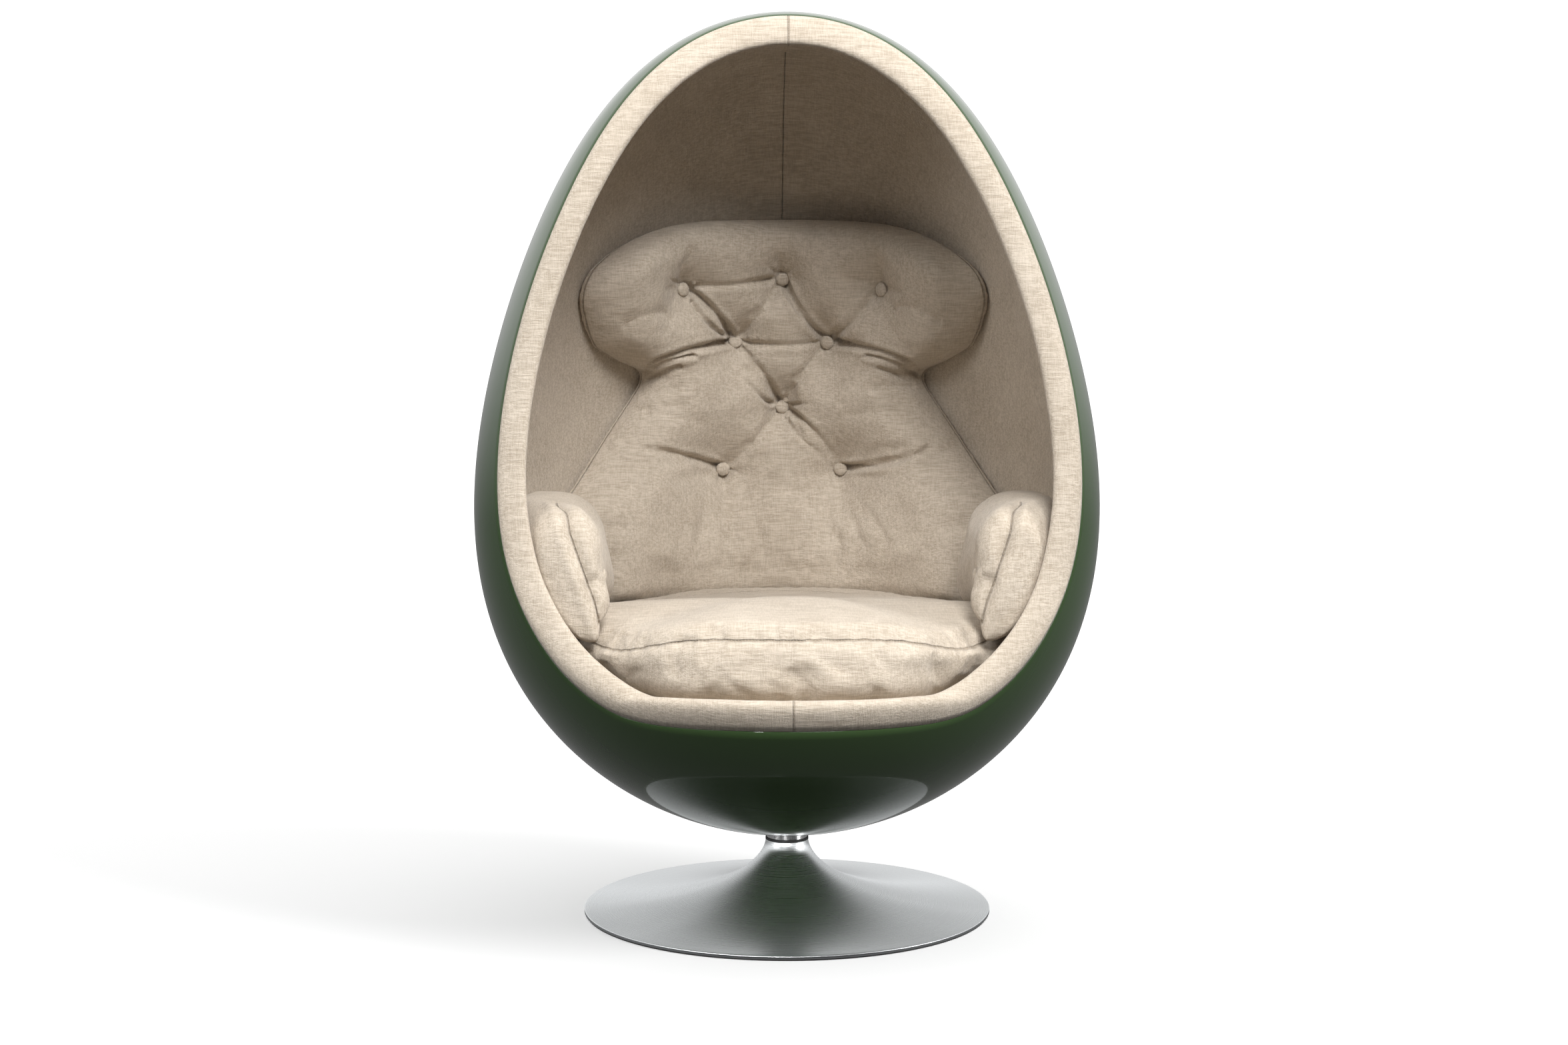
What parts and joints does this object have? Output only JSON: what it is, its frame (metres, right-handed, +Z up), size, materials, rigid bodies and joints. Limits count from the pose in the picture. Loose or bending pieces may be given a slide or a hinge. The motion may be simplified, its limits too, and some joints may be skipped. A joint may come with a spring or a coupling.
{
  "type": "pod lounge chair",
  "caption": "Egg-shaped lounge chair: a glossy shell with a padded rim and lining holds seat, back and arm cushions and turns on a low trumpet-shaped base.",
  "frame": {"origin": "centre of the base's underside, on the floor at the swivel axis", "axes": "+Z up along the swivel axis, the sitter faces -Y, +X to the sitter's left"},
  "size_m": [0.8798, 0.8257, 1.2695],
  "materials": {
    "shell_gloss": "dark green gloss gel coat over glass fibre",
    "upholstery": "cream linen weave with a soft nap",
    "lining_foam": "pale foam sheet under the lining",
    "brushed_base": "satin steel brushed in rings",
    "polished_collar": "polished",
    "plain_steel": "plain bright steel",
    "black_rubber": "matt black",
    "bronze_bush": "sintered, oil dull",
    "nylon_cage": "natural nylon",
    "plywood": "unfinished birch plywood"
  },
  "bodies": {
    "base": {"floor_pad": "black_rubber", "bottom_plate": "plain_steel", "ballast_disc": "plain_steel", "column": "plain_steel", "column_screws": "plain_steel", "base_trumpet": "brushed_base", "neck_ring": "black_rubber", "lower_bush": "bronze_bush", "upper_bush": "bronze_bush", "lower_race": "plain_steel", "thrust_balls": "plain_steel", "ball_cage": "nylon_cage"},
    "pod": {"upper_race": "plain_steel", "spindle": "plain_steel", "spindle_washer": "plain_steel", "snap_ring": "plain_steel", "neck_collar": "polished_collar", "spindle_flange": "plain_steel", "flange_bolts": "plain_steel", "flange_washers": "plain_steel", "tee_nuts": "plain_steel", "mounting_block": "plywood", "outer_shell": "shell_gloss", "rim_batten": "plywood", "rim_padding": "upholstery", "lining_foam": "lining_foam", "lining_fabric": "upholstery", "seat_deck": "plywood", "deck_cleats": "plywood", "deck_screws": "plain_steel", "seat_cushion": "upholstery", "back_cushion": "upholstery", "back_buttons": "upholstery", "arm_cushion_left": "upholstery", "arm_cushion_right": "upholstery", "arm_buttons": "upholstery"}
  },
  "joints": [
    {"name": "pod_swivel", "type": "hinge", "parent": "base", "child": "pod", "pos_m": [0, 0, 0.1], "axis": [0, 0, 1], "continuous": true}
  ]
}
